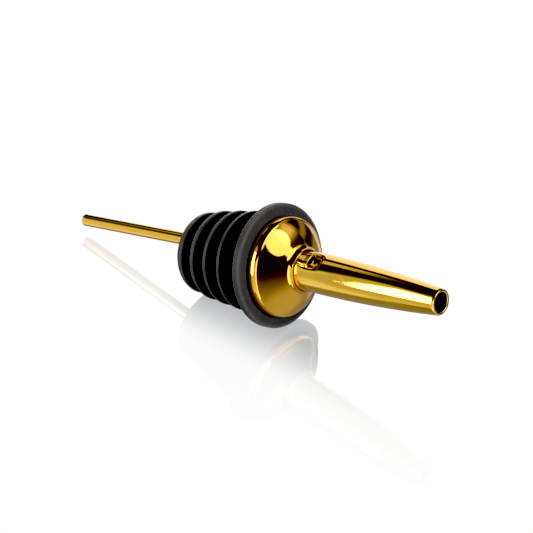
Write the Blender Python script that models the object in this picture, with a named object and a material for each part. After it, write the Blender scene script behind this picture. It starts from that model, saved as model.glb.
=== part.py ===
"""Free-flow liquor pour spout: a rubber stopper on a metal spout with a breather tube.

Frame: +X runs along the stopper's axis towards the spout's tip, +Z is up as the pourer lies on a
bar, and the origin is where that axis meets the plane of the bottle's lip, the flange's rear face.
"""

import math

import bmesh
import bpy
from mathutils import Vector

MM = 0.001
GAP = 0.3                       # clearance between pieces that touch

# Driving dimensions, in millimetres.
FLANGE_RADIUS = 15.0
FLANGE_THICKNESS = 2.0
FLANGE_EDGE = 0.35              # rounding of its front edge
FLANGE_REAR_EDGE = 0.4          # rounding of its rear edge
FIN_X = (-7.6, -12.6, -17.6, -22.4)
FIN_RADII = (12.2, 11.7, 11.1, 10.15)
FIN_RIM = 1.1
FIN_EDGE = 0.25                 # rounding of the rim's edges
FIN_ROOT = 2.0
LEAD_LENGTH = 0.8               # the rear fin has a bevelled rear edge, to lead into the bottle
LEAD_HEIGHT = 0.4
CORE_RADIUS = 7.3
CORE_OVERHANG = 0.5             # how far the core stands out behind the rear fin
CORE_CHAMFER = 0.5
FLANGE_ROOT = 0.8               # slope between the flange and the core

TUBE_RADIUS = 4.75              # outer radius of the shank and of the spout's base
TUBE_WALL = 0.5
TIP_RADIUS = 2.93
TIP_WALL = 0.65
SHANK_REAR_X = -21.8
TAPER_START_X = 15.0
TIP_X = 49.0
BEND_START_X = 8.0
BEND_END_X = 16.0
BEND_ANGLE = math.radians(2.6)

COLLAR_RADIUS = 12.2
COLLAR_SHEET = 0.5
SKIRT_HEIGHT = 2.4
SHOULDER_RADIUS = 0.45
DOME_FOOT = (5.45, 11.5)        # x and radius where the dome leaves the shoulder
DOME_TOP = (8.7, 7.2)           # x and radius where the dome turns up into the neck
NECK_LIP_X = 10.1
NECK_RADIUS = 5.65
RING_SOLDER_X = (6.0, 7.5)
RING_SOLDER_HEIGHT = 1.1

VENT_RADIUS = 1.575
VENT_WALL = 0.35
VENT_REAR_X = -69.5
VENT_MOUTH_X = 13.6
VENT_MOUTH_OFFSET = 4.0         # distance of the mouth's centre from the stopper's axis
VENT_MOUTH_RISE = 0.06          # how fast the mouth's stretch leaves the axis, mm per mm
VENT_MOUTH_WIDTH = 4.0
VENT_MOUTH_HEIGHT = 1.8
VENT_SPLAY = math.radians(0.7)
VENT_BEND_X = (0.0, 9.0)        # the breather tube bends out of the shank between these
FLATTEN_START_X = 6.0
EDGE_BREAK = 0.12               # rounding of the tubes' cut ends

SLOT_X = (2.6, 14.0)
SLOT_WIDTH = 5.8
SLOT_CORNER = 1.2
SLOT_HEIGHTS = (1.5, 8.0)       # the slot's cutter starts and ends this far from the axis
SOLDER_END_GAP = 0.4            # the mouth's solder stops this far behind the mouth
DIMPLE_DEPTH = 1.7
DIMPLE_X = (11.0, 14.0, 17.4)   # start, deepest place and end
DIMPLE_HALF_WIDTH = 2.9

# Rolls about the stopper's axis, from +Z towards -Y.
OUTLET_ROLL = math.radians(27.0)
LANE_ROLL = math.radians(-12.0)

STOPPER_SEGMENTS = 48
COLLAR_SEGMENTS = 48
SPOUT_SEGMENTS = 40
VENT_SEGMENTS = 16
SHELL_SEGMENTS = 72


def clear_scene():
    for item in list(bpy.data.objects):
        bpy.data.objects.remove(item, do_unlink=True)


def make_material(name, colour, roughness, metallic):
    material = bpy.data.materials.new(name)
    material.use_nodes = True
    shader = material.node_tree.nodes["Principled BSDF"]
    shader.inputs["Base Color"].default_value = (*colour, 1.0)
    shader.inputs["Roughness"].default_value = roughness
    shader.inputs["Metallic"].default_value = metallic
    return material


def radial(roll):
    """Unit vector square to the stopper's axis, at a roll from +Z towards -Y."""
    return Vector((0.0, -math.sin(roll), math.cos(roll)))


def smooth(value):
    """Smooth step from 0 to 1."""
    value = min(max(value, 0.0), 1.0)
    return value * value * (3.0 - 2.0 * value)


def mix(low, high, share):
    return low + (high - low) * share


def add_object(name, mesh, material, parent=None):
    item = bpy.data.objects.new(name, mesh)
    bpy.context.scene.collection.objects.link(item)
    mesh.materials.append(material)
    item.parent = parent
    return item


def finish_mesh(bm, name, sharp_angle=math.radians(35)):
    bmesh.ops.recalc_face_normals(bm, faces=bm.faces)
    mesh = bpy.data.meshes.new(name)
    bm.to_mesh(mesh)
    bm.free()
    mesh.shade_smooth()
    mesh.set_sharp_from_angle(angle=sharp_angle)
    return mesh


def arc(centre, radius, start, end, steps):
    """Points (x, r) on a circular arc, its angles in degrees from +x towards +r."""
    points = []
    for step in range(steps + 1):
        angle = math.radians(mix(start, end, step / steps))
        points.append((centre[0] + radius * math.cos(angle), centre[1] + radius * math.sin(angle)))
    return points


def bezier(start, handle_a, handle_b, end, steps):
    points = []
    for step in range(steps + 1):
        t = step / steps
        weights = ((1 - t) ** 3, 3 * t * (1 - t) ** 2, 3 * t * t * (1 - t), t ** 3)
        corners = (start, handle_a, handle_b, end)
        points.append(tuple(sum(w * c[k] for w, c in zip(weights, corners)) for k in range(2)))
    return points


def turned_mesh(name, outline, segments):
    """Spin a closed outline of (x, radius) points, in millimetres, about the X axis."""
    bm = bmesh.new()
    verts = [bm.verts.new((x * MM, 0.0, r * MM)) for x, r in outline]
    edges = [bm.edges.new((a, b)) for a, b in zip(verts, verts[1:] + verts[:1])]
    bmesh.ops.spin(bm, geom=verts + edges, cent=(0, 0, 0), axis=(1, 0, 0),
                   angle=2 * math.pi, steps=segments)
    bmesh.ops.remove_doubles(bm, verts=bm.verts, dist=1e-6)
    return finish_mesh(bm, name)


def bridge_rings(bm, rings):
    """Join a closed chain of rings, each a list of vertices, the last to the first."""
    for ring, following in zip(rings, rings[1:] + rings[:1]):
        count = len(ring)
        for k in range(count):
            bm.faces.new((ring[k], ring[(k + 1) % count],
                          following[(k + 1) % count], following[k]))


# ---------------------------------------------------------------- rubber stopper

def fin_outline(centre_x, radius):
    """One sealing fin from its front root to its rear root, with a flat rim."""
    rim = FIN_RIM / 2
    root = FIN_ROOT / 2
    points = [(centre_x + root, CORE_RADIUS)]
    points += arc((centre_x + rim - FIN_EDGE, radius - FIN_EDGE), FIN_EDGE, 0, 90, 2)
    points += arc((centre_x - rim + FIN_EDGE, radius - FIN_EDGE), FIN_EDGE, 90, 180, 2)
    points += [(centre_x - root, CORE_RADIUS)]
    return points


def rear_fin_outline(centre_x, radius):
    """The rear fin, with a bevel behind its rim."""
    bevel_end = centre_x - FIN_RIM / 2 - LEAD_LENGTH
    points = fin_outline(centre_x, radius)[:4]
    points += [(centre_x - FIN_RIM / 2, radius), (bevel_end, radius - LEAD_HEIGHT)]
    points += [(bevel_end, CORE_RADIUS)]
    return points


def stopper_mesh():
    bore = TUBE_RADIUS + GAP
    front, rear = FLANGE_EDGE, FLANGE_REAR_EDGE
    outline = [(FLANGE_THICKNESS, bore)]
    outline += arc((FLANGE_THICKNESS - front, FLANGE_RADIUS - front), front, 0, 90, 2)
    outline += arc((rear, FLANGE_RADIUS - rear), rear, 90, 180, 3)
    outline += [(0.0, CORE_RADIUS + FLANGE_ROOT), (-FLANGE_ROOT, CORE_RADIUS)]
    for centre_x, radius in zip(FIN_X[:-1], FIN_RADII[:-1]):
        outline += fin_outline(centre_x, radius)
    outline += rear_fin_outline(FIN_X[-1], FIN_RADII[-1])
    end = outline[-1][0] - CORE_OVERHANG
    outline += [(end, CORE_RADIUS - CORE_CHAMFER), (end, bore)]
    return turned_mesh("rubber_stopper", outline, STOPPER_SEGMENTS)


# ---------------------------------------------------------------- metal collar

def collar_outer_line():
    """The collar's outer skin from the skirt's rear edge to the neck's lip."""
    skirt_rear = FLANGE_THICKNESS + GAP
    skirt_front = skirt_rear + SKIRT_HEIGHT
    points = [(skirt_rear, COLLAR_RADIUS), (skirt_front - 0.15, COLLAR_RADIUS)]
    points += [(skirt_front, COLLAR_RADIUS - 0.2)]
    points += arc((DOME_FOOT[0] - SHOULDER_RADIUS, DOME_FOOT[1] + 0.1), SHOULDER_RADIUS, 80, 20, 3)
    dome = bezier(DOME_FOOT, (DOME_FOOT[0] + 1.35, DOME_FOOT[1] - 1.4),
                  (DOME_TOP[0] - 0.75, DOME_TOP[1] + 1.6), DOME_TOP, 5)
    neck = bezier(DOME_TOP, (DOME_TOP[0] + 0.4, DOME_TOP[1] - 0.85),
                  (NECK_LIP_X - 0.75, NECK_RADIUS + 0.05), (NECK_LIP_X - 0.2, NECK_RADIUS), 4)
    return points + dome + neck[1:]


def collar_mesh():
    outer = collar_outer_line()
    inner = []
    for index in range(1, len(outer) - 1):
        before, here, after = outer[index - 1], outer[index], outer[index + 1]
        along = Vector((after[0] - before[0], after[1] - before[1])).normalized()
        inward = Vector((along.y, -along.x))
        inner.append((here[0] + inward.x * COLLAR_SHEET, here[1] + inward.y * COLLAR_SHEET))
    inner = [p for p in inner if p[1] < COLLAR_RADIUS - COLLAR_SHEET - 0.1]
    skirt_inside = COLLAR_RADIUS - COLLAR_SHEET
    throat = NECK_RADIUS - COLLAR_SHEET
    outline = outer + [(NECK_LIP_X, NECK_RADIUS - COLLAR_SHEET / 2), (NECK_LIP_X - 0.15, throat)]
    outline += list(reversed(inner))
    outline += [(DOME_FOOT[0] - 0.7, skirt_inside), (outer[0][0], skirt_inside)]
    return turned_mesh("collar", outline, COLLAR_SEGMENTS)


def collar_solder_mesh():
    """Ring of solder between the tube and the inside of the dome."""
    inside = TUBE_RADIUS + GAP
    rear, front = RING_SOLDER_X
    outside = inside + RING_SOLDER_HEIGHT
    outline = [(rear, inside), (front, inside), (rear + 0.3, outside), (rear, outside)]
    return turned_mesh("collar_solder", outline, SPOUT_SEGMENTS)


# ---------------------------------------------------------------- spout tube

def droop_slope(x):
    return math.tan(BEND_ANGLE) * min(max((x - BEND_START_X) / (BEND_END_X - BEND_START_X), 0), 1)


def droop(x):
    """How far the spout's centre line has dropped at x."""
    if x <= BEND_START_X:
        return 0.0
    middle = (BEND_START_X + BEND_END_X) / 2
    if x >= BEND_END_X:
        return math.tan(BEND_ANGLE) * (x - middle)
    return 0.5 * droop_slope(x) * (x - BEND_START_X)


def taper(x):
    """0 along the shank, rising to 1 at the tip, faster and faster."""
    return max(0.0, (x - TAPER_START_X) / (TIP_X - TAPER_START_X)) ** 2


def outer_radius(x):
    return mix(TUBE_RADIUS, TIP_RADIUS, taper(x))


def inner_radius(x):
    return outer_radius(x) - mix(TUBE_WALL, TIP_WALL, taper(x))


def dimple(x, roll):
    """Depth of the pressed hollow in front of the breather tube's mouth."""
    start, deepest, end = DIMPLE_X
    if x < deepest:
        lengthways = smooth((x - start) / (deepest - start))
    else:
        lengthways = smooth((end - x) / (end - deepest))
    across = (roll - OUTLET_ROLL + math.pi) % (2 * math.pi) - math.pi
    sideways = smooth(1.0 - abs(across) * TUBE_RADIUS / DIMPLE_HALF_WIDTH)
    return DIMPLE_DEPTH * lengthways * sideways


def spout_ring(bm, x, radius_here):
    """One ring of the spout, square to its centre line."""
    down = -radial(LANE_ROLL)
    slope = droop_slope(x)
    centre = Vector((x, 0, 0)) + down * droop(x)
    ring = []
    for k in range(SPOUT_SEGMENTS):
        roll = OUTLET_ROLL + 2 * math.pi * k / SPOUT_SEGMENTS
        outward = radial(roll)
        reach = radius_here - dimple(x, roll)
        lean_x = -outward.dot(down) * slope * reach
        ring.append(bm.verts.new((centre + outward * reach + Vector((lean_x, 0, 0))) * MM))
    return ring


def spout_stations():
    """Places along the tube, closer together where it bends and is pressed in."""
    plain = [SHANK_REAR_X, SHANK_REAR_X / 2, 2.0, BEND_START_X, 9.5]
    pressed = [mix(DIMPLE_X[0], DIMPLE_X[2], k / 8) for k in range(9)]
    tapered = [mix(19.5, TIP_X - 0.5, k / 7) for k in range(8)]
    return plain + pressed + tapered


def spout_mesh():
    bm = bmesh.new()
    stations = spout_stations()
    outer = [spout_ring(bm, x, outer_radius(x)) for x in stations]
    bore = TIP_RADIUS - TIP_WALL
    lip = [spout_ring(bm, TIP_X - EDGE_BREAK, TIP_RADIUS - EDGE_BREAK / 2),
           spout_ring(bm, TIP_X, TIP_RADIUS - 2 * EDGE_BREAK),
           spout_ring(bm, TIP_X, bore + 2 * EDGE_BREAK),
           spout_ring(bm, TIP_X - EDGE_BREAK, bore + EDGE_BREAK / 2)]
    inner = [spout_ring(bm, x, inner_radius(x)) for x in reversed(stations)]
    bridge_rings(bm, outer + lip + inner)
    return finish_mesh(bm, "spout_tube")


def slot_prism(name, shrink):
    """Round-cornered prism through the tube's wall on the outlet's side."""
    low, high = SLOT_HEIGHTS
    radius = SLOT_CORNER - shrink
    half_length = (SLOT_X[1] - SLOT_X[0]) / 2 - SLOT_CORNER
    half_width = SLOT_WIDTH / 2 - SLOT_CORNER
    middle = (SLOT_X[0] + SLOT_X[1]) / 2
    outward = radial(OUTLET_ROLL)
    across = Vector((1, 0, 0)).cross(outward)
    corners = []
    for quarter, (side_x, side_y) in enumerate(((1, 1), (-1, 1), (-1, -1), (1, -1))):
        for step in range(4):
            angle = math.radians(90 * quarter + 30 * step)
            along = middle + side_x * half_length + radius * math.cos(angle)
            over = side_y * half_width + radius * math.sin(angle)
            corners.append(Vector((along, 0, 0)) + across * over)
    bm = bmesh.new()
    base = [bm.verts.new((corner + outward * low) * MM) for corner in corners]
    face = bm.faces.new(base)
    extruded = bmesh.ops.extrude_face_region(bm, geom=[face])
    lifted = [v for v in extruded["geom"] if isinstance(v, bmesh.types.BMVert)]
    bmesh.ops.translate(bm, verts=lifted, vec=outward * (high - low) * MM)
    return finish_mesh(bm, name)


# ---------------------------------------------------------------- breather tube

def vent_centre(x):
    """Centre line of the breather tube: a straight lane, then a bend out to its mouth."""
    lane_offset = TUBE_RADIUS - TUBE_WALL - GAP - VENT_RADIUS
    lane_offset += math.tan(VENT_SPLAY) * (SHANK_REAR_X - x)
    lane = radial(LANE_ROLL) * lane_offset
    mouth_offset = VENT_MOUTH_OFFSET - VENT_MOUTH_RISE * (VENT_MOUTH_X - x)
    mouth = radial(OUTLET_ROLL) * mouth_offset
    share = smooth((x - VENT_BEND_X[0]) / (VENT_BEND_X[1] - VENT_BEND_X[0]))
    return Vector((x, 0, 0)) + lane.lerp(mouth, share)


def vent_ring(bm, x, inset):
    """One ring of the breather tube, round at the rear and flattened towards its mouth."""
    flat = smooth((x - FLATTEN_START_X) / (VENT_MOUTH_X - 1.0 - FLATTEN_START_X))
    half_width = mix(VENT_RADIUS, VENT_MOUTH_WIDTH / 2, flat) - inset
    half_height = mix(VENT_RADIUS, VENT_MOUTH_HEIGHT / 2, flat) - inset
    step = 0.01
    forward = (vent_centre(x + step) - vent_centre(x - step)).normalized()
    if x > VENT_MOUTH_X - 0.5:
        forward = Vector((1, 0, 0))
    across = radial(OUTLET_ROLL).cross(forward).normalized()
    upward = forward.cross(across)
    ring = []
    for k in range(VENT_SEGMENTS):
        angle = 2 * math.pi * k / VENT_SEGMENTS
        offset = across * half_width * math.cos(angle) + upward * half_height * math.sin(angle)
        ring.append(bm.verts.new((vent_centre(x) + offset) * MM))
    return ring


def vent_stations():
    straight = [VENT_REAR_X, VENT_REAR_X + 0.2, -46.0, SHANK_REAR_X, -8.0]
    bent = [mix(VENT_BEND_X[0], VENT_MOUTH_X - 0.15, k / 12) for k in range(13)]
    return straight + bent + [VENT_MOUTH_X]


def vent_mesh():
    bm = bmesh.new()
    stations = vent_stations()
    outer = []
    for x in stations:
        at_end = x in (stations[0], stations[-1])
        outer.append(vent_ring(bm, x, EDGE_BREAK if at_end else 0.0))
    inner = [vent_ring(bm, x, VENT_WALL) for x in reversed(stations)]
    bridge_rings(bm, outer + inner)
    return finish_mesh(bm, "vent_tube")


def vent_sleeve_mesh():
    """The breather tube's outer shape with its clearance, as a solid to cut with."""
    bm = bmesh.new()
    rings = [vent_ring(bm, x, -GAP) for x in vent_stations()[4:]]
    rings.append(vent_ring(bm, VENT_MOUTH_X + 3.0, -GAP))
    for ring, following in zip(rings, rings[1:]):
        for k in range(VENT_SEGMENTS):
            bm.faces.new((ring[k], ring[(k + 1) % VENT_SEGMENTS],
                          following[(k + 1) % VENT_SEGMENTS], following[k]))
    bm.faces.new(rings[0])
    bm.faces.new(rings[-1])
    return finish_mesh(bm, "vent_sleeve")


def add_boolean(item, cutter, operation):
    modifier = item.modifiers.new(cutter.name, "BOOLEAN")
    modifier.operation = operation
    modifier.object = cutter


def add_cutter(name, mesh, material, parent):
    cutter = add_object(name, mesh, material, parent)
    cutter.hide_render = True
    cutter.display_type = "WIRE"
    return cutter


def solder_shell_mesh():
    """Band of the tube's own curve and thickness, from which the vent's solder is cut."""
    rear, front = SLOT_X[0], VENT_MOUTH_X - SOLDER_END_GAP
    inside = TUBE_RADIUS - TUBE_WALL
    outline = [(rear, inside), (front, inside), (front, TUBE_RADIUS), (rear, TUBE_RADIUS)]
    return turned_mesh("vent_solder", outline, SHELL_SEGMENTS)


def build():
    clear_scene()
    rubber = make_material("black_rubber", (0.012, 0.012, 0.013), 0.55, 0.0)
    gold_collar = make_material("gold_collar", (0.83, 0.56, 0.13), 0.10, 1.0)
    gold_spout = make_material("gold_spout", (0.83, 0.56, 0.13), 0.10, 1.0)
    gold_vent = make_material("gold_vent", (0.80, 0.53, 0.12), 0.15, 1.0)
    ring_solder = make_material("ring_solder", (0.70, 0.50, 0.20), 0.35, 1.0)
    mouth_solder = make_material("mouth_solder", (0.72, 0.50, 0.18), 0.30, 1.0)

    add_object("rubber_stopper", stopper_mesh(), rubber)

    metal_unit = bpy.data.objects.new("metal_unit", None)
    bpy.context.scene.collection.objects.link(metal_unit)
    add_object("collar", collar_mesh(), gold_collar, metal_unit)
    add_object("collar_solder", collar_solder_mesh(), ring_solder, metal_unit)
    spout = add_object("spout_tube", spout_mesh(), gold_spout, metal_unit)
    slot = add_cutter("slot_cutter", slot_prism("slot_cutter", 0.0), gold_spout, metal_unit)
    add_boolean(spout, slot, "DIFFERENCE")
    add_object("vent_tube", vent_mesh(), gold_vent, metal_unit)

    solder = add_object("vent_solder", solder_shell_mesh(), mouth_solder, metal_unit)
    inset_slot = slot_prism("solder_outline", GAP)
    solder_outline = add_cutter("solder_outline", inset_slot, mouth_solder, metal_unit)
    sleeve = add_cutter("vent_sleeve", vent_sleeve_mesh(), mouth_solder, metal_unit)
    add_boolean(solder, solder_outline, "INTERSECT")
    add_boolean(solder, sleeve, "DIFFERENCE")


build()
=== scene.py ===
"""Looks of the liquor pour spout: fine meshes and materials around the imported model, with a floor,
studio light and a camera.

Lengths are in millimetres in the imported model's frame: +X runs along the stopper's axis towards
the spout's tip, and the origin is where that axis meets the flange's rear face.
"""

import math

import bmesh
import bpy
import numpy as np
from mathutils import Matrix, Vector


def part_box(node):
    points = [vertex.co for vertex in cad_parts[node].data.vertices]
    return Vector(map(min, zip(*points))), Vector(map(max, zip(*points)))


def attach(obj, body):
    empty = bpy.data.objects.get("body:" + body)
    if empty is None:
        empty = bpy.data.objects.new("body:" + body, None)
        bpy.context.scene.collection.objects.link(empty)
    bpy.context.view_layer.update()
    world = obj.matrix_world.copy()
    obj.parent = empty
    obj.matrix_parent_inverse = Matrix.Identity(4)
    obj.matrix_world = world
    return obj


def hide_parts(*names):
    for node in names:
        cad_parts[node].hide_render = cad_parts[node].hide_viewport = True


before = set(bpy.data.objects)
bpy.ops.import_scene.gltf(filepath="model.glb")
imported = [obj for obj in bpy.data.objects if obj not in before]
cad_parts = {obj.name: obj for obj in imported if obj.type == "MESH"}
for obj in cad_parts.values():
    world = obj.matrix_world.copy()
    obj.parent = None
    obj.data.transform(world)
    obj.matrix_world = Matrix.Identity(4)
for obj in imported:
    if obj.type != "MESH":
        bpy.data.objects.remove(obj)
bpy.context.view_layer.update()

MM = 0.001


def node_box(node):
    """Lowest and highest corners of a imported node, in millimetres."""
    low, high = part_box(node)
    return low / MM, high / MM


# Driving dimensions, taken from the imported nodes.
STOPPER_LOW, STOPPER_HIGH = node_box("rubber_stopper")
COLLAR_LOW, COLLAR_HIGH = node_box("collar")
SPOUT_LOW = node_box("spout_tube")[0]
VENT_HIGH = node_box("vent_tube")[1]

FLANGE_RADIUS = STOPPER_HIGH.z
FLANGE_FRONT_X = STOPPER_HIGH.x
STOPPER_REAR_X = STOPPER_LOW.x
COLLAR_RADIUS = COLLAR_HIGH.z
COLLAR_REAR_X = COLLAR_LOW.x
NECK_LIP_X = COLLAR_HIGH.x
SHANK_REAR_X = SPOUT_LOW.x
VENT_MOUTH_X = VENT_HIGH.x

# The other dimensions. Most are the model's. The flange's lean, the fillets and rounded edges, the
# collar's skin, the squareness of the breather tube's mouth and the solder differ from it.
FLANGE_EDGE = 0.35
FLANGE_REAR_EDGE = 0.4
FLANGE_LEAN = 0.4
FIN_X = (-7.6, -12.6, -17.6, -22.4)
FIN_RADII = (12.2, 11.7, 11.1, 10.15)
FIN_RIM = 1.1
FIN_EDGE = 0.2
FIN_ROOT = 2.0
FIN_FILLET = 0.5
LEAD_LENGTH = 0.8
LEAD_HEIGHT = 0.4
CORE_RADIUS = 7.3
CORE_EDGE = 0.35
BORE_RADIUS = 5.05

TUBE_RADIUS = 4.75
TUBE_WALL = 0.5
TIP_X = 49.0
TIP_RADIUS = 2.93
TIP_WALL = 0.65
TAPER_START_X = 15.0
BEND_START_X = 8.0
BEND_END_X = 16.0
BEND_ANGLE = math.radians(2.6)

COLLAR_SHEET = 0.5
SHOULDER_DROP = 0.33
BEAD_X = 4.7
BEAD_RADIUS = 0.75
BEAD_ANGLES = (62, 18)
DOME_FOOT = (5.1, 11.4)
DOME_TOP = (8.1, 7.15)
DOME_BOW = math.radians(10.5)
DOME_TOP_INSIDE = (DOME_TOP[0] - 0.45, DOME_TOP[1] - 0.3)
NECK_RADIUS = 5.15
NECK_FLARE = math.radians(12)
NECK_START_GAP = 0.4
THROAT_GAP = 0.1
COLLAR_SOLDER_X = (5.7, 7.9)

VENT_RADIUS = 1.575
VENT_WALL = 0.35
VENT_REAR_X = -69.5
VENT_LANE_OFFSET = 2.375
VENT_MOUTH_OFFSET = 4.0
VENT_MOUTH_RISE = 0.06
VENT_MOUTH_WIDTH = 4.0
VENT_MOUTH_HEIGHT = 1.8
VENT_SPLAY = math.radians(0.7)
VENT_BEND_X = (0.0, 9.0)
FLATTEN_START_X = 6.0
VENT_MOUTH_SQUARENESS = 0.78
VENT_LIP = 0.12

DIMPLE_DEPTH = 1.7
DIMPLE_X = (11.0, 14.0, 17.4)
DIMPLE_HALF_WIDTH = 2.9
VENT_SOLDER_X = (9.4, 12.6)
VENT_SOLDER_CORNER = 0.7
VENT_SOLDER_SIZE = 0.16
SPOUT_LIP = 0.26

OUTLET_ROLL = math.radians(27.0)
LANE_ROLL = math.radians(-12.0)

TURNED_SEGMENTS = 288
TUBE_SEGMENTS = 192
VENT_SEGMENTS = 96
SHARP_ANGLE = math.radians(50)

COLLAR_GOLD = (0.95, 0.54, 0.10)
SPOUT_GOLD = (0.95, 0.61, 0.11)
VENT_GOLD = (0.95, 0.60, 0.11)
SOLDER_GOLD = (0.92, 0.54, 0.10)
RUBBED_GOLD = (1.0, 0.80, 0.42)
# Near black painted into the tubes' bores as shade.
BORE_SHADE_COLOUR = (0.030, 0.016, 0.006)

FLOOR_HALF = 1.6
FLOOR_CONTACT_X = 0.3
CAMERA_VIEW = (44.9, 19.2)
CAMERA_ROLL = math.radians(-7.8)
CAMERA_PLACE = (229.8, -233.6, 114.0)
CAMERA_LENS = 97.94
LAMP_DISTANCE = 0.8
BLACK_LEVEL = 0.043


# ---------------------------------------------------------------- geometry helpers

def mix(low, high, share):
    """Value that lies a share of the way from low to high."""
    return low + (high - low) * share


def smooth(value):
    """Smooth step from 0 to 1, for a number or an array."""
    value = np.clip(value, 0.0, 1.0)
    return value * value * (3.0 - 2.0 * value)


def radial(roll):
    """Unit vector square to the stopper's axis, at a roll from +Z towards -Y."""
    return np.array((0.0, -math.sin(roll), math.cos(roll)))


def arc(centre, radius, start, end, steps):
    """Points (x, r) on a circular arc, its angles in degrees from +x towards +r."""
    angles = np.radians(np.linspace(start, end, steps + 1))
    return [(centre[0] + radius * math.cos(a), centre[1] + radius * math.sin(a)) for a in angles]


def bezier(start, handle_a, handle_b, end, steps):
    """Points (x, r) on a cubic curve, both ends included."""
    points = []
    for t in np.linspace(0.0, 1.0, steps + 1):
        weights = ((1 - t) ** 3, 3 * t * (1 - t) ** 2, 3 * t * t * (1 - t), t ** 3)
        corners = (start, handle_a, handle_b, end)
        points.append(tuple(sum(w * c[k] for w, c in zip(weights, corners)) for k in range(2)))
    return points


def bow(start, end, half_angle, steps):
    """Points on the circular arc between two points, which turns by twice the half angle in all and
    bulges away from the axis."""
    chord = math.dist(start, end)
    radius = chord / 2 / math.sin(half_angle)
    lean = math.atan2(end[1] - start[1], end[0] - start[0])
    middle = [(start[k] + end[k]) / 2 for k in range(2)]
    drop = radius * math.cos(half_angle)
    centre = (middle[0] + drop * math.sin(lean), middle[1] - drop * math.cos(lean))
    angles = np.linspace(lean + math.pi / 2 + half_angle, lean + math.pi / 2 - half_angle, steps + 1)
    return [(centre[0] + radius * math.cos(a), centre[1] + radius * math.sin(a)) for a in angles]


def line(start, end, steps):
    """Points from start to just before end."""
    return [tuple(mix(start[k], end[k], step / steps) for k in range(2)) for step in range(steps)]


def loft(name, rings, **marks):
    """Closed mesh through a chain of closed rings, the last one joined to the first.

    rings has the shape (rings, points in a ring, 3), in millimetres. Each of the marks is a list
    with a value for each ring, kept as a point attribute for the material.
    """
    rings = np.asarray(rings, float)
    count, around = rings.shape[:2]
    ring_start = np.arange(count)[:, None] * around
    next_start = np.roll(ring_start, -1, axis=0)
    here = np.arange(around)[None, :]
    beside = np.roll(here, -1, axis=1)
    quads = np.stack((ring_start + here, ring_start + beside, next_start + beside, next_start + here), -1)
    mesh = bpy.data.meshes.new(name)
    mesh.from_pydata((rings.reshape(-1, 3) * MM).tolist(), [], quads.reshape(-1, 4).tolist())
    for mark, levels in marks.items():
        values = np.repeat(np.asarray(levels, np.float32), around)
        mesh.attributes.new(mark, "FLOAT", "POINT").data.foreach_set("value", values)
    face_outwards(mesh)
    return mesh


def face_outwards(mesh):
    """Turn every face outwards, and shade smooth between the sharp edges."""
    bm = bmesh.new()
    bm.from_mesh(mesh)
    bmesh.ops.recalc_face_normals(bm, faces=bm.faces)
    bm.to_mesh(mesh)
    bm.free()
    mesh.shade_smooth()
    mesh.set_sharp_from_angle(angle=SHARP_ANGLE)


def turned(name, outline, segments, wobble=None):
    """Turn a closed outline about the X axis. An outline point is (x, radius) or (x, radius, paleness of its
    edge).
    """
    rolls = np.linspace(0.0, 2 * math.pi, segments, endpoint=False)
    rings = []
    for point in outline:
        x = np.full(segments, point[0])
        r = np.full(segments, point[1])
        if wobble:
            shift_x, shift_r = wobble(point[0], point[1], rolls)
            x = x + shift_x
            r = r + shift_r
        rings.append(np.stack((x, -r * np.sin(rolls), r * np.cos(rolls)), -1))
    wear = [point[2] if len(point) > 2 else 0.0 for point in outline]
    return loft(name, rings, edge_wear=wear)


def add_piece(mesh, material, body, slot, *nodes):
    """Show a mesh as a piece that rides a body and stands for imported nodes. The metal casts no gold
    glow on the matt rubber around it."""
    piece = bpy.data.objects.new(mesh.name, mesh)
    bpy.context.scene.collection.objects.link(piece)
    mesh.materials.append(material)
    piece.visible_diffuse = body != "metal_unit"
    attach(piece, body)
    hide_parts(*nodes)


def with_paler_edge(points, wear):
    """Outline points with the paleness of their edge, from 0 for none to 1 for an edge painted paler, partly
    as scuffs and partly as a painted highlight.
    """
    return [(x, r, wear) for x, r in points]


# ---------------------------------------------------------------- rubber stopper

def fin_outline(centre_x, radius):
    """One sealing fin from its front root to its rear root: filleted roots and a flat rim."""
    front, rear = centre_x + FIN_RIM / 2, centre_x - FIN_RIM / 2
    root = FIN_ROOT / 2
    fillet = FIN_FILLET
    edge = FIN_EDGE
    points = arc((centre_x + root + fillet, CORE_RADIUS + fillet), fillet, 270, 190, 5)
    points += line(points[-1], (front, radius - edge), 6)[1:]
    # The rim's edges are painted paler, partly as scuffs and partly as a painted highlight.
    points += with_paler_edge(arc((front - edge, radius - edge), edge, 0, 90, 6), 1.0)
    points += with_paler_edge(line((front - edge - 0.05, radius), (rear + edge, radius), 4), 0.9)
    points += with_paler_edge(arc((rear + edge, radius - edge), edge, 90, 180, 6), 1.0)
    points += line((rear, radius - edge - 0.1), (centre_x - root, CORE_RADIUS + fillet), 6)
    points += arc((centre_x - root - fillet, CORE_RADIUS + fillet), fillet, 350, 270, 5)
    return points


def rear_fin_outline(centre_x, radius):
    """The rear fin, with a bevel behind its rim that leads it into the bottle."""
    rear = centre_x - FIN_RIM / 2
    bevel_end = rear - LEAD_LENGTH
    points = [point for point in fin_outline(centre_x, radius) if point[0] > rear + FIN_EDGE]
    points += with_paler_edge([(rear + 0.1, radius - 0.01), (rear, radius - 0.04)], 0.7)
    points += line((rear - 0.1, radius - 0.08), (bevel_end + 0.15, radius - LEAD_HEIGHT + 0.03), 5)
    points += arc((bevel_end + 0.2, radius - LEAD_HEIGHT - 0.2), 0.2, 100, 180, 5)
    points += line((bevel_end, radius - LEAD_HEIGHT - 0.3), (bevel_end, CORE_RADIUS + 0.1), 8)
    return points


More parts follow.
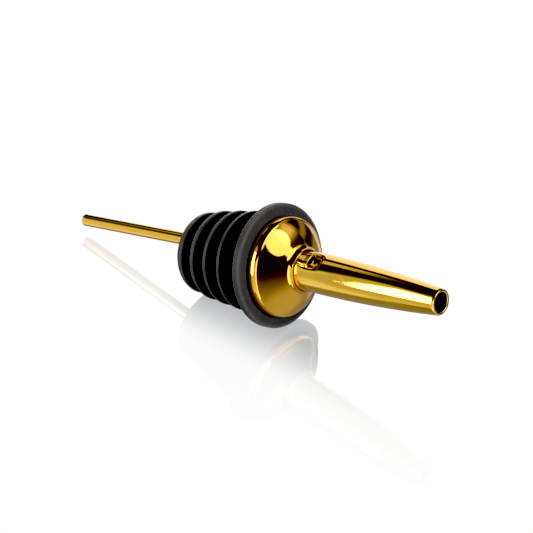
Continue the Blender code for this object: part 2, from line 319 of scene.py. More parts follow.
def stopper_wobble(x, r, rolls):
    """Slight unevenness of moulded rubber, the mould's parting line on both sides, and a flange that
    leans with the weight it carries."""
    reach = smooth((r - CORE_RADIUS) / (FLANGE_RADIUS - CORE_RADIUS))
    if x > -1.0:
        return -FLANGE_LEAN * r / FLANGE_RADIUS * reach * np.cos(rolls), 0.0 * rolls
    lean = 0.05 * np.sin(2 * rolls + 0.9 * x) + 0.03 * np.sin(5 * rolls - 0.5 * x)
    swell = 0.025 * np.sin(3 * rolls + 0.7 * x) - 0.03
    from_seam = np.abs((rolls + math.pi / 2) % math.pi - math.pi / 2) * r
    seam = 0.045 * np.clip(1.0 - from_seam / 0.16, 0.0, 1.0) if r > CORE_RADIUS - 0.1 else 0.0
    return lean * reach, np.minimum(swell * reach + seam, 0.0)


def stopper_mesh():
    """The stopper from its front face round the flange, the fins and the rear face to its bore."""
    rim = FLANGE_RADIUS - FLANGE_EDGE
    rear_edge = FLANGE_REAR_EDGE
    outline = with_paler_edge([(FLANGE_FRONT_X, BORE_RADIUS)], 0.0)
    outline += line((FLANGE_FRONT_X, BORE_RADIUS + 0.2), (FLANGE_FRONT_X, rim), 14)
    # The flange's edges and side are painted paler, partly as scuffs and partly as a painted highlight.
    outline += with_paler_edge(arc((FLANGE_FRONT_X - FLANGE_EDGE, rim), FLANGE_EDGE, 0, 90, 8), 1.0)
    outline += with_paler_edge(line((FLANGE_FRONT_X - FLANGE_EDGE - 0.1, FLANGE_RADIUS),
                         (rear_edge + 0.1, FLANGE_RADIUS), 5), 0.25)
    outline += with_paler_edge(arc((rear_edge, FLANGE_RADIUS - rear_edge), rear_edge, 90, 180, 8), 1.0)
    outline += line((0.0, rim - 0.7), (0.0, CORE_RADIUS + 0.8), 10)
    outline += arc((-0.8, CORE_RADIUS + 0.8), 0.8, 0, -90, 6)
    for centre_x, radius in zip(FIN_X[:-1], FIN_RADII[:-1]):
        outline += fin_outline(centre_x, radius)
    outline += rear_fin_outline(FIN_X[-1], FIN_RADII[-1])
    corner = CORE_EDGE
    outline += with_paler_edge(arc((STOPPER_REAR_X + corner, CORE_RADIUS - corner), corner, 90, 180, 5), 0.6)
    outline += line((STOPPER_REAR_X, CORE_RADIUS - 0.6), (STOPPER_REAR_X, BORE_RADIUS + 0.2), 4)
    outline += arc((STOPPER_REAR_X + 0.2, BORE_RADIUS + 0.2), 0.2, 180, 270, 4)
    outline += line((STOPPER_REAR_X + 0.4, BORE_RADIUS), (FLANGE_FRONT_X, BORE_RADIUS), 12)
    return turned("stopper_skin", outline, TURNED_SEGMENTS, stopper_wobble)


# ---------------------------------------------------------------- metal collar

def collar_outer_line():
    """The collar's outer skin from the skirt's rear edge to the neck's lip."""
    curl = bezier((COLLAR_REAR_X, COLLAR_RADIUS - 0.5), (COLLAR_REAR_X + 0.05, COLLAR_RADIUS - 0.15),
                  (COLLAR_REAR_X + 0.35, COLLAR_RADIUS), (COLLAR_REAR_X + 0.75, COLLAR_RADIUS), 8)
    shoulder = bezier(curl[-1], (COLLAR_REAR_X + 1.4, COLLAR_RADIUS), (BEAD_X - 0.4, COLLAR_RADIUS - 0.12),
                      (BEAD_X, COLLAR_RADIUS - SHOULDER_DROP), 16)
    bead_start = math.radians(BEAD_ANGLES[0])
    bead_centre = (BEAD_X - BEAD_RADIUS * math.cos(bead_start),
                   COLLAR_RADIUS - SHOULDER_DROP - BEAD_RADIUS * math.sin(bead_start))
    bead = arc(bead_centre, BEAD_RADIUS, *BEAD_ANGLES, 14)
    points = curl + shoulder[1:] + bead[1:]
    foot = DOME_FOOT
    dome = bow(foot, DOME_TOP, DOME_BOW, 40)
    steep = math.atan2(foot[1] - DOME_TOP[1], DOME_TOP[0] - foot[0]) + DOME_BOW
    start_x = DOME_TOP[0] + NECK_START_GAP
    start_r = DOME_TOP[1] - NECK_START_GAP * math.tan(steep)
    fillet = (start_r - NECK_RADIUS) / (math.cos(NECK_FLARE) - math.cos(steep))
    neck = []
    for angle in np.linspace(steep, NECK_FLARE, 24):
        neck.append((start_x + fillet * (math.sin(steep) - math.sin(angle)),
                     start_r - fillet * (math.cos(angle) - math.cos(steep))))
    lip = bezier(neck[-1], (NECK_LIP_X - 0.08, NECK_RADIUS - 0.02), (NECK_LIP_X, NECK_RADIUS - 0.05),
                 (NECK_LIP_X, NECK_RADIUS - 0.14), 8)
    return points + dome + neck + lip[1:]


def collar_mesh():
    """The collar as hollow sheet: its outer skin, then back through the neck, dome and skirt."""
    outer = collar_outer_line()
    throat = TUBE_RADIUS + THROAT_GAP
    under = COLLAR_SHEET * 0.8
    neck_inner = bezier((NECK_LIP_X - 0.3, throat), (NECK_LIP_X - 1.0, throat + 0.1),
                        (DOME_TOP[0] + 0.1, DOME_TOP[1] - 1.6), DOME_TOP_INSIDE, 14)
    foot_inside = (DOME_FOOT[0] - under, DOME_FOOT[1] - under)
    dome_inner = bow(foot_inside, DOME_TOP_INSIDE, DOME_BOW, 20)[::-1]
    skirt_inside = COLLAR_RADIUS - SHOULDER_DROP - COLLAR_SHEET - 0.15
    inner = arc((NECK_LIP_X - 0.06, throat + 0.06), 0.06, 0, -90, 3)
    inner += neck_inner + dome_inner[1:]
    inner += bezier(inner[-1], (DOME_FOOT[0] - 1.0, DOME_FOOT[1] - 0.2),
                    (DOME_FOOT[0] - 1.4, skirt_inside), (COLLAR_REAR_X + 0.1, skirt_inside - 0.1), 10)[1:]
    return turned("collar_skin", outer + inner, TURNED_SEGMENTS)


def collar_solder_mesh():
    """Ring of solder between the tube and the inside of the dome, with an uneven surface."""
    inside = TUBE_RADIUS + 0.02
    rear, front = COLLAR_SOLDER_X
    outline = line((front, inside), (rear, inside), 4)
    outline += bezier((rear, inside), (6.25, inside + 0.15), (6.5, inside + 0.7), (6.45, inside + 1.6), 10)
    outline += line((6.6, inside + 1.7), (front, inside + 0.6), 4)

    def wobble(x, r, rolls):
        height = smooth((r - inside) / 0.6) * smooth((7.2 - x) / 1.0)
        return 0.10 * height * (np.sin(3 * rolls + 1) + 0.6 * np.sin(8 * rolls)), 0.0 * rolls

    return turned("collar_solder_ring", outline, TUBE_SEGMENTS, wobble)


# ---------------------------------------------------------------- spout tube

def droop_slope(x):
    """How steeply the spout's centre line drops at x."""
    return math.tan(BEND_ANGLE) * min(max((x - BEND_START_X) / (BEND_END_X - BEND_START_X), 0), 1)


def droop(x):
    """How far the spout's centre line has dropped at x."""
    if x <= BEND_START_X:
        return 0.0
    if x >= BEND_END_X:
        return math.tan(BEND_ANGLE) * (x - (BEND_START_X + BEND_END_X) / 2)
    return 0.5 * droop_slope(x) * (x - BEND_START_X)


def taper(x):
    """0 along the shank, rising to 1 at the tip, faster and faster."""
    return max(0.0, (x - TAPER_START_X) / (TIP_X - TAPER_START_X)) ** 2


def outer_radius(x):
    """Radius of the spout's outside at x."""
    return mix(TUBE_RADIUS, TIP_RADIUS, taper(x))


def inner_radius(x):
    """Radius of the spout's bore at x."""
    return outer_radius(x) - mix(TUBE_WALL, TIP_WALL, taper(x))


def dimple(x, rolls):
    """Depth of the hollow pressed in around the breather tube's mouth."""
    start, deepest, end = DIMPLE_X
    if x < deepest:
        lengthways = smooth((x - start) / (deepest - start))
    else:
        lengthways = smooth((end - x) / (end - deepest))
    across = (rolls - OUTLET_ROLL + math.pi) % (2 * math.pi) - math.pi
    sideways = smooth(1.0 - np.abs(across) * TUBE_RADIUS / DIMPLE_HALF_WIDTH)
    return DIMPLE_DEPTH * lengthways * sideways


def spout_ring(x, radius_here):
    """One ring of the spout, square to its centre line."""
    down = -radial(LANE_ROLL)
    rolls = OUTLET_ROLL + np.linspace(0.0, 2 * math.pi, TUBE_SEGMENTS, endpoint=False)
    outward = np.stack((np.zeros(TUBE_SEGMENTS), -np.sin(rolls), np.cos(rolls)), -1)
    reach = radius_here - dimple(x, rolls)
    ring = np.array((x, 0.0, 0.0)) + down * droop(x) + outward * reach[:, None]
    ring[:, 0] -= outward @ down * droop_slope(x) * reach
    return ring


def spout_stations():
    """Places of the spout's rings: few along the shank, and close together where it is pressed in."""
    plain = np.linspace(SHANK_REAR_X + 0.15, 8.0, 24)
    pressed = np.arange(8.4, 18.4, 0.16)
    tapered = np.linspace(18.6, TIP_X - 0.3, 60)
    return list(plain) + list(pressed) + list(tapered)


def spout_mesh():
    """The tube's outside, its rounded tip, its bore and its rear end. The model's slot isn't cut
    here, so this wall crosses the breather tube and closes its bore just behind the mouth."""
    stations = spout_stations()
    outer = [spout_ring(x, outer_radius(x)) for x in stations]
    wall = TIP_WALL / 2
    lip = []
    for angle in np.radians(np.linspace(0, 180, 13)):
        along = SPOUT_LIP * math.sin(angle)
        lip.append(spout_ring(TIP_X - SPOUT_LIP + along, TIP_RADIUS - wall + wall * math.cos(angle)))
    inner = [spout_ring(x, inner_radius(x)) for x in reversed(stations)]
    rear_middle = TUBE_RADIUS - TUBE_WALL / 2
    rear = [spout_ring(SHANK_REAR_X, rear_middle - 0.12), spout_ring(SHANK_REAR_X, rear_middle + 0.12)]
    wear = [0.0] * len(outer) + [1.0] * len(lip) + [0.0] * len(inner) + [1.0] * len(rear)
    bore = [0.0] * len(outer + lip) + [1.0] * len(inner) + [0.0] * len(rear)
    return loft("spout_skin", outer + lip + inner + rear, edge_wear=wear, inside=bore)


# ---------------------------------------------------------------- breather tube

def vent_centre(x):
    """Centre line of the breather tube: a straight lane, then a bend out to its mouth."""
    lane_offset = VENT_LANE_OFFSET + math.tan(VENT_SPLAY) * (SHANK_REAR_X - x)
    lane = radial(LANE_ROLL) * lane_offset
    mouth = radial(OUTLET_ROLL) * (VENT_MOUTH_OFFSET - VENT_MOUTH_RISE * (VENT_MOUTH_X - x))
    share = float(smooth((x - VENT_BEND_X[0]) / (VENT_BEND_X[1] - VENT_BEND_X[0])))
    return np.array((x, 0.0, 0.0)) + mix(lane, mouth, share)


def vent_frame(x):
    """Directions across and up from the breather tube's centre line at x."""
    step = 0.01
    forward = vent_centre(x + step) - vent_centre(x - step)
    forward = forward / np.linalg.norm(forward)
    across = np.cross(radial(OUTLET_ROLL), forward)
    across = across / np.linalg.norm(across)
    return across, np.cross(forward, across)


def vent_ring(x, inset):
    """One ring of the breather tube, round at the rear and a flat-sided oval at its mouth."""
    flat = float(smooth((x - FLATTEN_START_X) / (VENT_MOUTH_X - 1.0 - FLATTEN_START_X)))
    half_width = mix(VENT_RADIUS, VENT_MOUTH_WIDTH / 2, flat) - inset
    half_height = mix(VENT_RADIUS, VENT_MOUTH_HEIGHT / 2, flat) - inset
    squareness = mix(1.0, VENT_MOUTH_SQUARENESS, flat)
    across, upward = vent_frame(x)
    angles = np.linspace(0.0, 2 * math.pi, VENT_SEGMENTS, endpoint=False)
    cosine, sine = np.cos(angles), np.sin(angles)
    side = np.sign(cosine) * np.abs(cosine) ** squareness * half_width
    rise = np.sign(sine) * np.abs(sine) ** squareness * half_height
    return vent_centre(x) + side[:, None] * across + rise[:, None] * upward


def vent_stations():
    """Places of the breather tube's rings, closer together where it bends."""
    straight = list(np.linspace(VENT_REAR_X + VENT_LIP, VENT_BEND_X[0], 60))
    bent = list(np.linspace(VENT_BEND_X[0] + 0.2, VENT_MOUTH_X - VENT_LIP, 70))
    return straight + bent


def vent_mesh():
    """The breather tube's outside, its mouth's rim, its bore and its rear rim."""
    stations = vent_stations()
    outer = [vent_ring(x, 0.0) for x in stations]
    inner = [vent_ring(x, VENT_WALL) for x in reversed(stations)]
    front, rear = [], []
    for angle in np.radians(np.linspace(15, 165, 7)):
        inset = VENT_WALL / 2 * (1 - math.cos(angle))
        front.append(vent_ring(VENT_MOUTH_X - VENT_LIP + VENT_LIP * math.sin(angle), inset))
        rear.append(vent_ring(VENT_REAR_X + VENT_LIP - VENT_LIP * math.sin(angle), inset))
    wear = [0.0] * len(outer) + [1.0] * len(front) + [0.0] * len(inner) + [1.0] * len(rear)
    bore = [0.0] * len(outer + front) + [1.0] * len(inner) + [0.0] * len(rear)
    outlet = [float(smooth((x - 1.0) / 4.0)) for x in stations] + [1.0] * len(front)
    outlet += [0.0] * len(inner + rear)
    rings = outer + front + inner + rear[::-1]
    return loft("vent_tube_skin", rings, edge_wear=wear, inside=bore, outlet=outlet)


def vent_solder_path():
    """Points (x, distance to the side, turn) along the edge of the breather tube's stub: along one
    side, round under its mouth and back along the other side."""
    stub_side = VENT_MOUTH_WIDTH / 2
    start_x, end_x = VENT_SOLDER_X
    corner = VENT_SOLDER_CORNER
    path = [(x, stub_side, 0.0) for x in np.linspace(start_x, end_x, 24)]
    for angle in np.linspace(0.0, math.pi / 2, 10)[1:]:
        path.append((end_x + corner * math.sin(angle), stub_side - corner + corner * math.cos(angle), angle))
    for side in np.linspace(stub_side - corner, 0.0, 6)[1:]:
        path.append((end_x + corner, side, math.pi / 2))
    return path + [(x, -side, math.pi - angle) for x, side, angle in reversed(path[:-1])]


def vent_solder_mesh():
    """Fillet of solder in the corner between the spout and the breather tube's stub."""
    upward = radial(OUTLET_ROLL)
    sideways = np.cross(np.array((1.0, 0.0, 0.0)), upward)
    size = VENT_SOLDER_SIZE
    rings = []
    for x, side, angle in vent_solder_path():
        roll_off = math.asin(max(-1.0, min(1.0, side / TUBE_RADIUS)))
        depth = float(dimple(x, np.array([OUTLET_ROLL - roll_off]))[0])
        height = math.cos(roll_off) * (TUBE_RADIUS - depth)
        root = np.array((x, 0.0, 0.0)) + upward * height + sideways * side
        away = np.array((math.sin(angle), 0.0, 0.0)) + sideways * math.cos(angle)
        ring = []
        for t in np.linspace(0.0, math.pi / 2, 7):
            ring.append(root + away * size * (1 - math.sin(t)) + upward * size * (1 - math.cos(t)))
        ring.append(root - away * 0.12 + upward * size * 0.8)
        ring.append(root - away * 0.12 - upward * 0.15)
        ring.append(root + away * size * 0.8 - upward * 0.15)
        rings.append(np.array(ring))
    return strip_solid("vent_solder_fillet", rings)


def strip_solid(name, rings):
    """Closed mesh through a chain of rings, with flat ends."""
    rings = np.asarray(rings, float)
    count, around = rings.shape[:2]
    faces = []
    for index in range(count - 1):
        for k in range(around):
            beside = (k + 1) % around
            faces.append((index * around + k, index * around + beside,
                          (index + 1) * around + beside, (index + 1) * around + k))
    faces.append(tuple(range(around)))
    faces.append(tuple((count - 1) * around + k for k in reversed(range(around))))
    mesh = bpy.data.meshes.new(name)
    mesh.from_pydata((rings.reshape(-1, 3) * MM).tolist(), [], faces)
    face_outwards(mesh)
    return mesh


# ---------------------------------------------------------------- materials

class Shading:
    """A material or world node tree that is built up node by node."""

    def __init__(self, owner):
        owner.use_nodes = True
        self.tree = owner.node_tree

    def add(self, kind, **inputs):
        """Add a node. A value sets its input, and an output socket is linked to it. Input names
        have _ for a space, and in0, in1 stand for the inputs of a Math node."""
        node = self.tree.nodes.new(kind)
        for name, value in inputs.items():
            socket = node.inputs[int(name[2:])] if name[:2] == "in" else node.inputs[name.replace("_", " ")]
            if isinstance(value, bpy.types.NodeSocket):
                self.tree.links.new(value, socket)
            else:
                socket.default_value = value
        return node

    def math(self, operation, first, second=0.0):
        """Result of a Math node. Each operand is a number or an output socket."""
        node = self.add("ShaderNodeMath", in0=first, in1=second)
        node.operation = operation
        return node.outputs[0]

    def vector_math(self, operation, first, second=(0, 0, 0)):
        node = self.add("ShaderNodeVectorMath", in0=first, in1=second)
        node.operation = operation
        return node.outputs["Value"] if operation == "DOT_PRODUCT" else node.outputs["Vector"]

    def noise(self, vector, scale, detail=2.0, roughness=0.5):
        node = self.add("ShaderNodeTexNoise", Vector=vector, Scale=scale, Detail=detail, Roughness=roughness)
        return node.outputs["Fac"]

    def ramp(self, value, low, high, out_low=0.0, out_high=1.0):
        """Smooth step from out_low to out_high, as the value goes from low to high."""
        node = self.add("ShaderNodeMapRange", Value=value)
        for name, number in zip(("From Min", "From Max", "To Min", "To Max"), (low, high, out_low, out_high)):
            node.inputs[name].default_value = number
        node.interpolation_type = "SMOOTHSTEP"
        return node.outputs["Result"]

    def blend(self, share, first, second):
        """Colour between the first, where the share is 0, and the second, where it is 1."""
        node = self.tree.nodes.new("ShaderNodeMix")
        node.data_type = "RGBA"
        for socket, value in ((node.inputs[0], share), (node.inputs[6], first), (node.inputs[7], second)):
            if isinstance(value, bpy.types.NodeSocket):
                self.tree.links.new(value, socket)
            else:
                socket.default_value = value if isinstance(value, float) else (*value, 1.0)
        return node.outputs[2]

    def bump(self, height, distance, normal=None):
        """Normal with a relief of this depth in metres, on top of an earlier one if it is given."""
        inputs = {"Height": height, "Distance": distance}
        if normal is not None:
            inputs["Normal"] = normal
        return self.add("ShaderNodeBump", **inputs).outputs["Normal"]

    def mark(self, name):
        """Level of one of the marks that a mesh carries."""
        node = self.add("ShaderNodeAttribute")
        node.attribute_name = name
        return node.outputs["Fac"]

    def object_place(self):
        return self.add("ShaderNodeTexCoord").outputs["Object"]

    def turned_place(self):
        """Place as (along the axis, distance from it, angle about it), for marks left by turning."""
        split = self.add("ShaderNodeSeparateXYZ", Vector=self.object_place())
        x, y, z = split.outputs
        across = self.math("SQRT", self.math("ADD", self.math("MULTIPLY", y, y), self.math("MULTIPLY", z, z)))
        angle = self.math("ARCTAN2", y, z)
        return self.add("ShaderNodeCombineXYZ", X=x, Y=across, Z=angle).outputs["Vector"]

    def stretched(self, vector, scale):
        return self.vector_math("MULTIPLY", vector, scale)


def new_material(name):
    """A material, its node tree's builder and its shader."""
    material = bpy.data.materials.new(name)
    shading = Shading(material)
    return material, shading, shading.tree.nodes["Principled BSDF"]


def rubber_material():
    """Matt black moulded rubber: fine grain, soft mottling, dust, and edges painted paler, partly as scuffs
    and partly as a painted highlight.
    """
    material, shading, shader = new_material("moulded_rubber")
    place = shading.object_place()
    mottle = shading.ramp(shading.noise(place, 260.0, 3.0, 0.6), 0.35, 0.7)
    grain = shading.noise(place, 5200.0, 2.0, 0.6)
    dust = shading.ramp(shading.noise(place, 3100.0, 1.0, 0.4), 0.73, 0.80)
    edge = shading.mark("edge_wear")
    scuffs = shading.ramp(shading.noise(place, 900.0, 4.0, 0.7), 0.25, 0.75, 0.35, 0.65)
    scuffed_and_highlit = shading.math("MULTIPLY", edge, scuffs)
    colour = shading.blend(mottle, (0.0200, 0.0193, 0.0194), (0.0235, 0.0226, 0.0227))
    # Edges painted paler: partly scuffs, partly a painted highlight along the fin rims and the flange's
    # edges.
    colour = shading.blend(shading.math("MULTIPLY", scuffed_and_highlit, 0.9), colour, (0.055, 0.0525, 0.051))
    colour = shading.blend(shading.math("MULTIPLY", dust, 0.35), colour, (0.14, 0.135, 0.13))
    rough = shading.ramp(mottle, 0.0, 1.0, 0.46, 0.56)
    rough = shading.math("SUBTRACT", rough, shading.math("MULTIPLY", edge, 0.16))
    links = shading.tree.links
    links.new(colour, shader.inputs["Base Color"])
    links.new(rough, shader.inputs["Roughness"])
    relief = shading.bump(grain, 0.000012)
    relief = shading.bump(mottle, 0.00001, normal=relief)
    links.new(relief, shader.inputs["Normal"])
    shader.inputs["Specular IOR Level"].default_value = 0.32
    shader.inputs["Sheen Weight"].default_value = 0.05
    shader.inputs["Sheen Roughness"].default_value = 0.45
    return material


def gold_material(name, colour, roughness, lines_scale, line_depth, mottle_depth, drawn=False):
    """Polished gold plate: faint tarnish, fine turning or drawing lines, stray scratches and smears,
    paler scuffed edges and a dull bore painted near black as shade. The depths are in metres."""
    material, shading, shader = new_material(name)
    place = shading.object_place()
    edge, bore, outlet = shading.mark("edge_wear"), shading.mark("inside"), shading.mark("outlet")

    tarnish = shading.ramp(shading.noise(place, 120.0, 4.0, 0.6), 0.38, 0.72)
    smear_place = shading.stretched(place, (1.0, 2.2, 2.2))
    smear = shading.ramp(shading.noise(smear_place, 210.0, 5.0, 0.65), 0.50, 0.72)
    scratch_place = shading.stretched(place, (0.06, 1.0, 1.0))
    scratch = shading.ramp(shading.noise(scratch_place, 5200.0, 1.0, 0.3), 0.70, 0.76)
    if drawn:
        lines_place = shading.stretched(place, (0.02, 1.0, 1.0))
    else:
        lines_place = shading.stretched(shading.turned_place(), (1.0, 1.0, 0.00008))
    lines = shading.noise(lines_place, lines_scale, 3.0, 0.7)

    deeper = tuple(channel * factor for channel, factor in zip(colour, (0.93, 0.86, 0.70)))
    tone = shading.blend(shading.math("MULTIPLY", tarnish, 0.55), colour, deeper)
    tone = shading.blend(shading.math("MULTIPLY", edge, 0.7), tone, RUBBED_GOLD)
    # Painted shade: the bores are coloured near black, as the inside of a tube is dark.
    tone = shading.blend(bore, tone, BORE_SHADE_COLOUR)

    rough = shading.ramp(smear, 0.0, 1.0, roughness, roughness + 0.05)
    rough = shading.math("ADD", rough, shading.math("MULTIPLY", scratch, 0.07))
    rough = shading.math("ADD", rough, shading.ramp(lines, 0.3, 0.8, 0.0, 0.03))
    rough = shading.math("ADD", rough, shading.math("MULTIPLY", edge, 0.22))
    rough = shading.math("ADD", rough, shading.math("MULTIPLY", bore, 0.6))
    rough = shading.math("SUBTRACT", rough, shading.math("MULTIPLY", outlet, 0.5 * roughness))

    smoother = shading.math("SUBTRACT", 1.0, shading.math("MULTIPLY", outlet, 0.85))
    waves = shading.math("MULTIPLY", shading.noise(place, 330.0, 2.0, 0.5), smoother)
    dents = shading.math("MULTIPLY", shading.noise(place, 1900.0, 2.0, 0.55), smoother)
    relief = shading.bump(waves, 2.0 * mottle_depth)
    relief = shading.bump(dents, mottle_depth, normal=relief)
    relief = shading.bump(shading.math("MULTIPLY", lines, smoother), line_depth, normal=relief)
    relief = shading.bump(scratch, -0.000001, normal=relief)

    links = shading.tree.links
    links.new(tone, shader.inputs["Base Color"])
    links.new(rough, shader.inputs["Roughness"])
    links.new(shading.ramp(bore, 0.0, 1.0, 0.5, 0.0), shader.inputs["Coat Weight"])
    links.new(relief, shader.inputs["Normal"])
    shader.inputs["Metallic"].default_value = 1.0
    shader.inputs["Coat Roughness"].default_value = 0.04
    return material


# ---------------------------------------------------------------- stage, light and camera

def floor_plane():
    """Point and upward normal of the surface that the pourer lies on. It touches the lowest points
    of the flange's rim and of the rear fin's rim."""
    front = Vector((FLOOR_CONTACT_X, 0.0, -FLANGE_RADIUS))
    rear = Vector((FIN_X[-1] - FIN_RIM / 2, 0.0, -FIN_RADII[-1]))
    along = (front - rear).normalized()
    return front * MM, Vector((-along.z, 0.0, along.x))


def add_floor():
    """A wide flat sheet under the pourer, seen only by the camera."""
    point, normal = floor_plane()
    half = FLOOR_HALF
    mesh = bpy.data.meshes.new("floor")
    corners = [(-half, -half, 0), (half, -half, 0), (half, half, 0), (-half, half, 0)]
    mesh.from_pydata(corners, [], [(0, 1, 2, 3)])
    floor = bpy.data.objects.new("floor", mesh)
    bpy.context.scene.collection.objects.link(floor)
    sideways = Vector((0.0, 1.0, 0.0))
    place = Matrix((sideways.cross(normal), sideways, normal)).transposed().to_4x4()
    place.translation = point
    floor.matrix_world = place
    mesh.materials.append(floor_material())
    floor.visible_glossy = False
    floor.visible_diffuse = False


def floor_material():
    """White acrylic: a self-lit white whose faint mirror image fades to the sides, behind the
    stopper and beyond the pourer's ends. Places are in metres from the flange's foot."""
    material = bpy.data.materials.new("white_acrylic")
    shading = Shading(material)
    nodes = shading.tree.nodes
    nodes.remove(nodes["Principled BSDF"])
    place = shading.object_place()
    x, y = shading.add("ShaderNodeSeparateXYZ", Vector=place).outputs[:2]
    sideways = shading.math("ABSOLUTE", y)
    lengthways = shading.math("ABSOLUTE", shading.math("ADD", x, 0.01))
    behind = shading.math("SUBTRACT", x, sideways)
    near = shading.ramp(sideways, 0.002, 0.022, 0.88, 0.0)
    mirror = shading.math("ADD", near, shading.ramp(sideways, 0.0, 0.07, 0.12, 0.0))
    mirror = shading.math("MULTIPLY", mirror, shading.ramp(lengthways, 0.06, 0.12, 1.0, 0.0))
    mirror = shading.math("MULTIPLY", mirror, shading.ramp(behind, -0.045, -0.030, 0.45, 1.0))
    ripple = shading.bump(shading.noise(place, 9000.0, 1.0, 0.5), 0.0000012)
    gloss = shading.add("ShaderNodeBsdfGlossy", Roughness=0.0, Normal=ripple)
    gloss.inputs["Color"].default_value = (0.51, 0.50, 0.49, 1.0)
    glow = shading.add("ShaderNodeEmission", Color=(0.50, 0.51, 0.52, 1.0), Strength=1.0)
    both = shading.add("ShaderNodeAddShader", in0=glow.outputs[0], in1=gloss.outputs[0])
    plain = shading.add("ShaderNodeEmission", Color=(1.0, 1.0, 1.0, 1.0), Strength=1.01)
    whole = shading.add("ShaderNodeMixShader", in0=mirror, in1=plain.outputs[0], in2=both.outputs[0])
    shading.tree.links.new(whole.outputs[0], nodes["Material Output"].inputs["Surface"])
    return material


def view_direction(azimuth, elevation):
    """Unit vector from the object towards an eye at these angles, in degrees."""
    a, e = math.radians(azimuth), math.radians(elevation)
    return Vector((math.sin(a) * math.cos(e), -math.cos(a) * math.cos(e), math.sin(e)))


def add_camera():
    """Camera at the photo's viewing angle."""
    back = view_direction(*CAMERA_VIEW)
    level = Vector((0, 0, 1)).cross(back).normalized()
    right = Matrix.Rotation(CAMERA_ROLL, 3, back) @ level
    up = back.cross(right)
    data = bpy.data.cameras.new("camera")
    data.sensor_width = 36.0
    data.lens = CAMERA_LENS
    data.clip_start = 0.01
    camera = bpy.data.objects.new("camera", data)
    bpy.context.scene.collection.objects.link(camera)
    place = Matrix((right, up, back)).transposed().to_4x4()
    place.translation = Vector(CAMERA_PLACE) * MM
    camera.matrix_world = place
    bpy.context.scene.camera = camera


def patch(shading, azimuth, elevation, centre, half, low, high, feather):
    """Share of a soft-edged patch of the studio: an azimuth and its half width, and elevations from
    low to high, all in degrees."""
    turn = shading.math("SUBTRACT", azimuth, centre)
    wrapped = shading.add("ShaderNodeMath", in0=turn, in1=180.0, in2=-180.0)
    wrapped.operation = "WRAP"
    sideways = shading.math("ABSOLUTE", wrapped.outputs[0])
    share = shading.ramp(sideways, half - feather, half + feather, 1.0, 0.0)
    share = shading.math("MULTIPLY", share, shading.ramp(elevation, low - feather, low + feather))
    return shading.math("MULTIPLY", share, shading.ramp(elevation, high - feather, high + feather, 1.0, 0.0))


def add_studio():
    """Studio seen in the polished metal: a dark room with a white table, a backdrop and softboxes.
    The camera and the floor's mirror see plain white instead.

    Azimuths are from +X towards +Y, and elevations from the horizon, in degrees. A patch is its
    azimuth, half width, lowest and highest elevation, feather and brightness. A round is its
    direction, half angle, feather and brightness.
    """
    world = bpy.data.worlds.new("studio")
    bpy.context.scene.world = world
    shading = Shading(world)
    nodes, links = shading.tree.nodes, shading.tree.links
    direction = shading.add("ShaderNodeTexCoord").outputs["Generated"]
    x, y, z = shading.add("ShaderNodeSeparateXYZ", Vector=direction).outputs
    azimuth = shading.math("MULTIPLY", shading.math("ARCTAN2", y, x), 180 / math.pi)
    elevation = shading.math("MULTIPLY", shading.math("ARCSINE", z), 180 / math.pi)

    room = 0.05
    table = shading.ramp(elevation, -50.0, -4.0, 0.26, 0.0)
    level = shading.math("ADD", table, room)
    patches = (
        (-122.0, 13.0, -36.0, 50.0, 3.0, 0.53),      # white card beside the left softbox
        (-152.0, 18.0, -40.0, 31.0, 5.0, 0.70),      # table and wall to the left
        (-168.0, 15.0, 18.0, 38.0, 5.0, 0.15),       # wall behind it
        (-115.5, 8.5, -2.0, 40.0, 1.5, 6.0),         # left softbox
        (-94.0, 16.0, -70.0, 25.0, 4.0, 0.70),       # wall between it and the reflector
        (-63.0, 15.0, -50.0, 30.0, 3.0, 1.8),        # reflector beside the camera
        (128.0, 13.0, -12.0, 48.0, 2.0, 1.0),        # white backdrop
        (171.0, 13.0, 44.0, 60.0, 4.0, 0.60),        # ceiling behind the pourer
        (106.0, 9.0, -24.0, 20.0, 3.0, 0.60),        # edge of the backdrop
        (90.0, 12.0, -42.0, -2.0, 4.0, 0.25),        # table to the right
        (82.0, 20.0, 10.0, 19.0, 3.0, 0.25),         # wall to the right
        (42.0, 22.0, 26.0, 50.0, 9.0, 0.79),         # glow beside the round softbox
    )
    for centre, half, low, high, feather, strength in patches:
        share = patch(shading, azimuth, elevation, centre, half, low, high, feather)
        level = shading.math("ADD", level, shading.math("MULTIPLY", share, strength))
    rounds = (
        ((0.79, 0.15, 0.60), 23.0, 0.8, 1.60),       # round softbox
        ((0.42, 0.20, -0.89), 24.0, 18.0, 0.22),     # its glow on the table
    )
    for facing, half_angle, feather, strength in rounds:
        ahead = shading.vector_math("DOT_PRODUCT", direction, tuple(Vector(facing).normalized()))
        low = math.cos(math.radians(half_angle + feather))
        high = math.cos(math.radians(half_angle - feather))
        share = shading.ramp(ahead, low, high)
        level = shading.math("ADD", level, shading.math("MULTIPLY", share, strength))

    lit = nodes["Background"]
    links.new(level, lit.inputs["Color"])
    path = shading.add("ShaderNodeLightPath")
    seen = shading.math("MAXIMUM", path.outputs["Is Camera Ray"], path.outputs["Is Singular Ray"])
    white = shading.add("ShaderNodeBackground", Color=(1.0, 1.0, 1.0, 1.0), Strength=1.01)
    choice = shading.add("ShaderNodeMixShader", in0=seen, in1=lit.outputs[0], in2=white.outputs[0])
    links.new(choice.outputs[0], nodes["World Output"].inputs["Surface"])


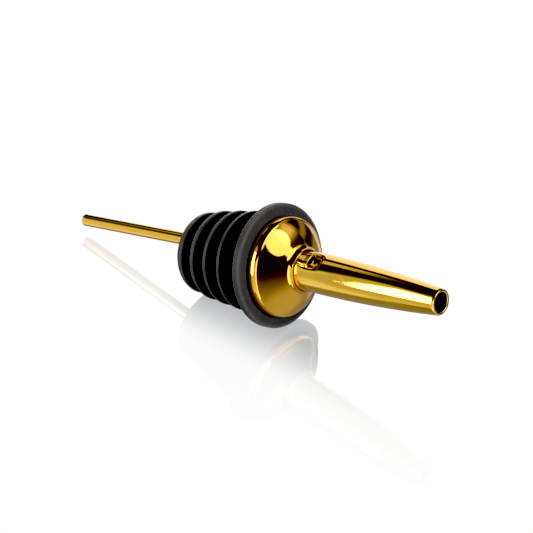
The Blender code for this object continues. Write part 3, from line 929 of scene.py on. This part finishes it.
def add_lamp(name, azimuth, elevation, size, power):
    """Soft lamp that lights the matt rubber. The polished metal mirrors only the studio."""
    around, up = math.radians(azimuth), math.radians(elevation)
    towards = Vector((math.cos(around) * math.cos(up), math.sin(around) * math.cos(up), math.sin(up)))
    data = bpy.data.lights.new(name, "AREA")
    data.shape = "DISK"
    data.size = size
    data.energy = power
    lamp = bpy.data.objects.new(name, data)
    bpy.context.scene.collection.objects.link(lamp)
    turn = towards.to_track_quat("Z", "Y").to_matrix().to_4x4()
    lamp.matrix_world = Matrix.Translation(towards * LAMP_DISTANCE) @ turn
    lamp.visible_glossy = False
    lamp.visible_camera = False


def set_contrast():
    """Plain view colours, with the studio's deepest darks taken down to black."""
    view = bpy.context.scene.view_settings
    view.view_transform = "Standard"
    view.use_curve_mapping = True
    view.curve_mapping.black_level = (BLACK_LEVEL, BLACK_LEVEL, BLACK_LEVEL)
    view.curve_mapping.update()


def build():
    """Make the materials, the pieces and the studio around them."""
    rubber = rubber_material()
    collar_gold = gold_material("collar_gold", COLLAR_GOLD, 0.035, 3500.0, 0.0000008, 0.0000012)
    spout_gold = gold_material("spout_gold", SPOUT_GOLD, 0.04, 3500.0, 0.0000008, 0.0000028)
    vent_gold = gold_material("vent_gold", VENT_GOLD, 0.09, 5000.0, 0.000003, 0.000005, drawn=True)
    solder_gold = gold_material("solder_gold", SOLDER_GOLD, 0.14, 3500.0, 0.000001, 0.000006)

    add_piece(stopper_mesh(), rubber, "stopper", "black_rubber", "rubber_stopper")
    add_piece(collar_mesh(), collar_gold, "metal_unit", "gold_collar", "collar")
    add_piece(collar_solder_mesh(), solder_gold, "metal_unit", "gold_solder", "collar_solder")
    add_piece(spout_mesh(), spout_gold, "metal_unit", "gold_spout", "spout_tube")
    add_piece(vent_mesh(), vent_gold, "metal_unit", "gold_vent", "vent_tube")
    add_piece(vent_solder_mesh(), solder_gold, "metal_unit", "gold_solder", "vent_solder")

    add_floor()
    add_studio()
    add_lamp("front_fill", -8.0, 12.0, 0.4, 18.0)
    add_lamp("left_fill", -125.0, 20.0, 0.5, 5.0)
    add_lamp("rear_fill", 150.0, 35.0, 0.6, 20.0)
    add_camera()
    set_contrast()


build()
